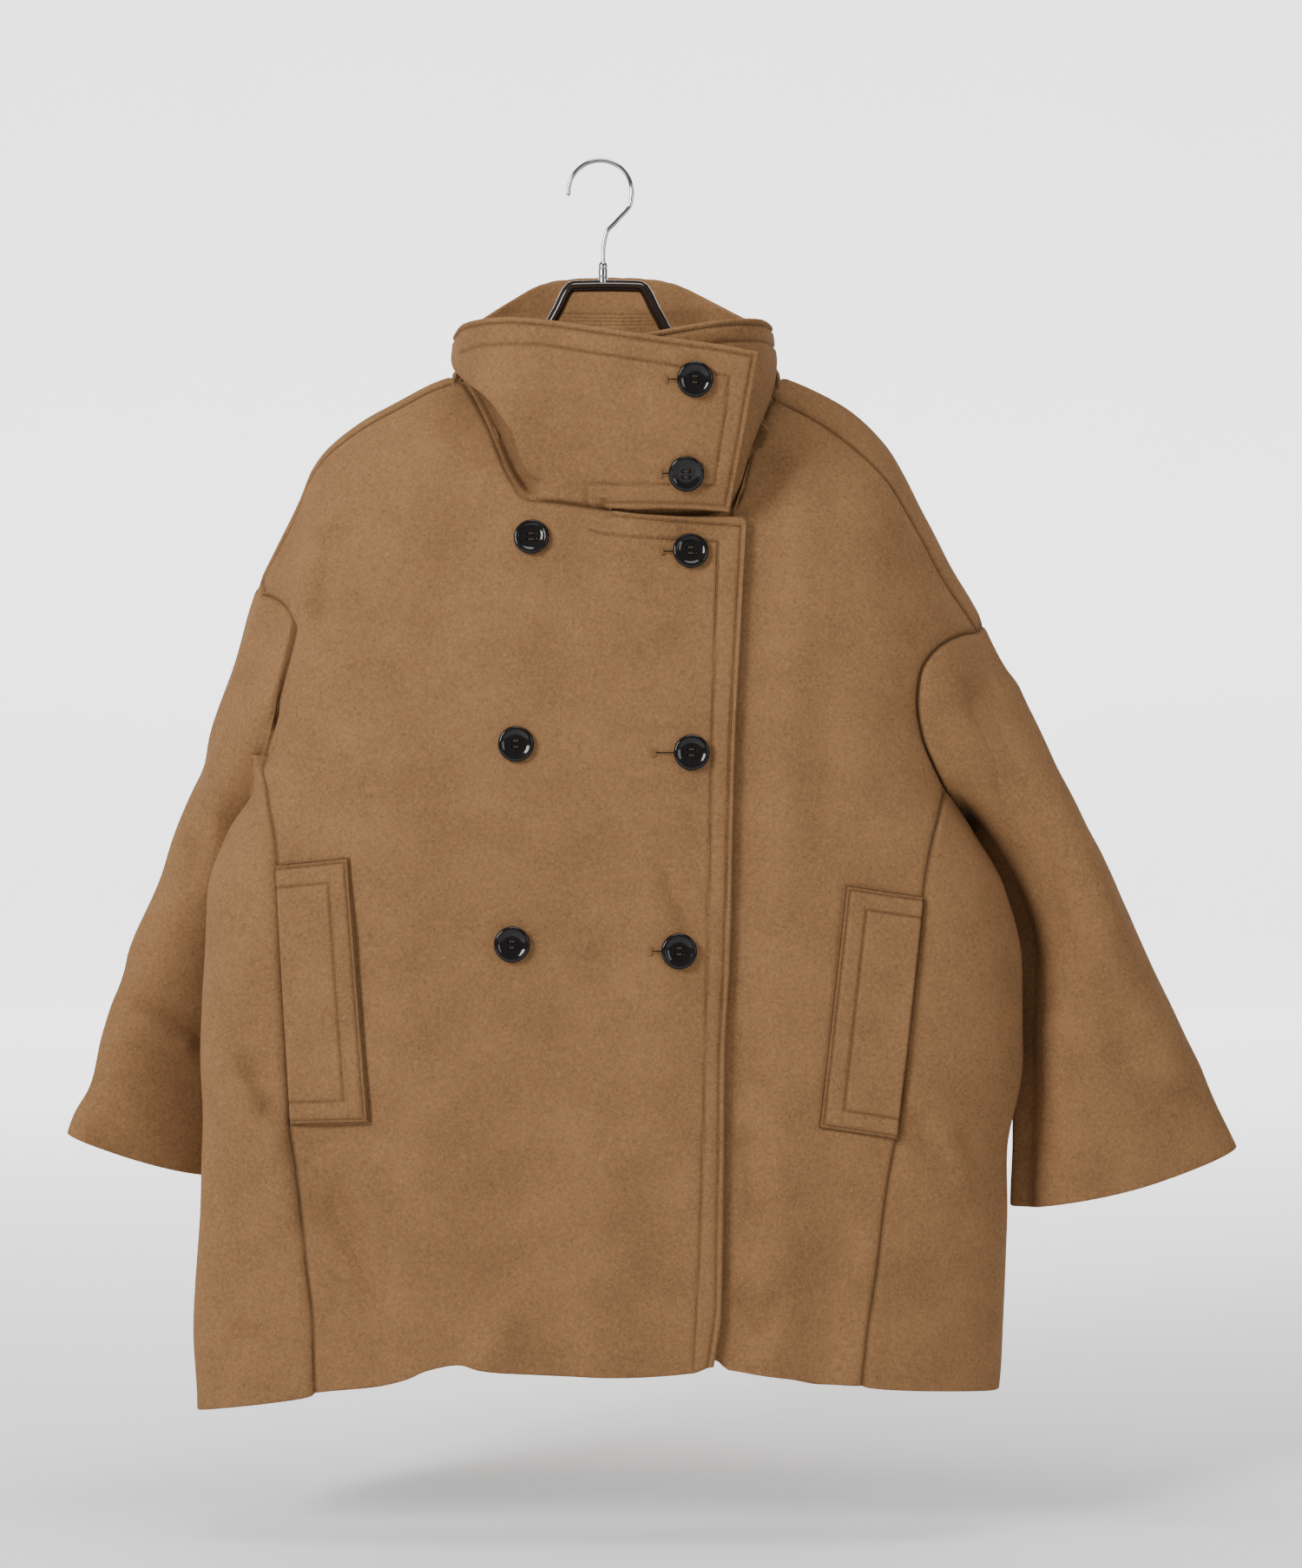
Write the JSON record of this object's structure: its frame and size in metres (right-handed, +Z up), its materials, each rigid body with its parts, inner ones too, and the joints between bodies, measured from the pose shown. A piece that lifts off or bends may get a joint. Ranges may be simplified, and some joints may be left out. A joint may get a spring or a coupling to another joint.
{
  "type": "stand collar coat on hanger",
  "caption": "Oversized double-breasted stand collar coat of felted wool with welt pockets, open hem and cuffs, hung on a moulded hanger with a metal hook.",
  "frame": {"origin": "inside top of the hook, at the middle of its rod's depth, where the hanger rests on a rail", "axes": "+Z up, -Y out of the coat's front, +X towards the wearer's left"},
  "size_m": [0.9262, 0.2232, 0.9825],
  "materials": {
    "camel_wool": "thick felted wool with a short brushed nap",
    "camel_wool_double": "two layers of felted wool sewn together",
    "black_resin": "polished black resin with a brownish rim",
    "brown_plastic": "glossy dark brown moulding",
    "chrome_rod": "bright plated steel"
  },
  "bodies": {
    "root": {"front_right": "camel_wool", "front_left": "camel_wool", "side_right": "camel_wool", "side_left": "camel_wool", "back": "camel_wool", "sleeve_right": "camel_wool", "sleeve_left": "camel_wool", "collar": "camel_wool_double", "pocket_welt_right": "camel_wool", "pocket_welt_left": "camel_wool", "button_collar_top": "black_resin", "button_collar_low": "black_resin", "button_front_1": "black_resin", "button_front_2": "black_resin", "button_front_3": "black_resin", "button_row_1": "black_resin", "button_row_2": "black_resin", "button_row_3": "black_resin", "hanger_body": "brown_plastic", "hanger_ferrule": "chrome_rod", "hanger_hook": "chrome_rod"}
  },
  "joints": []
}
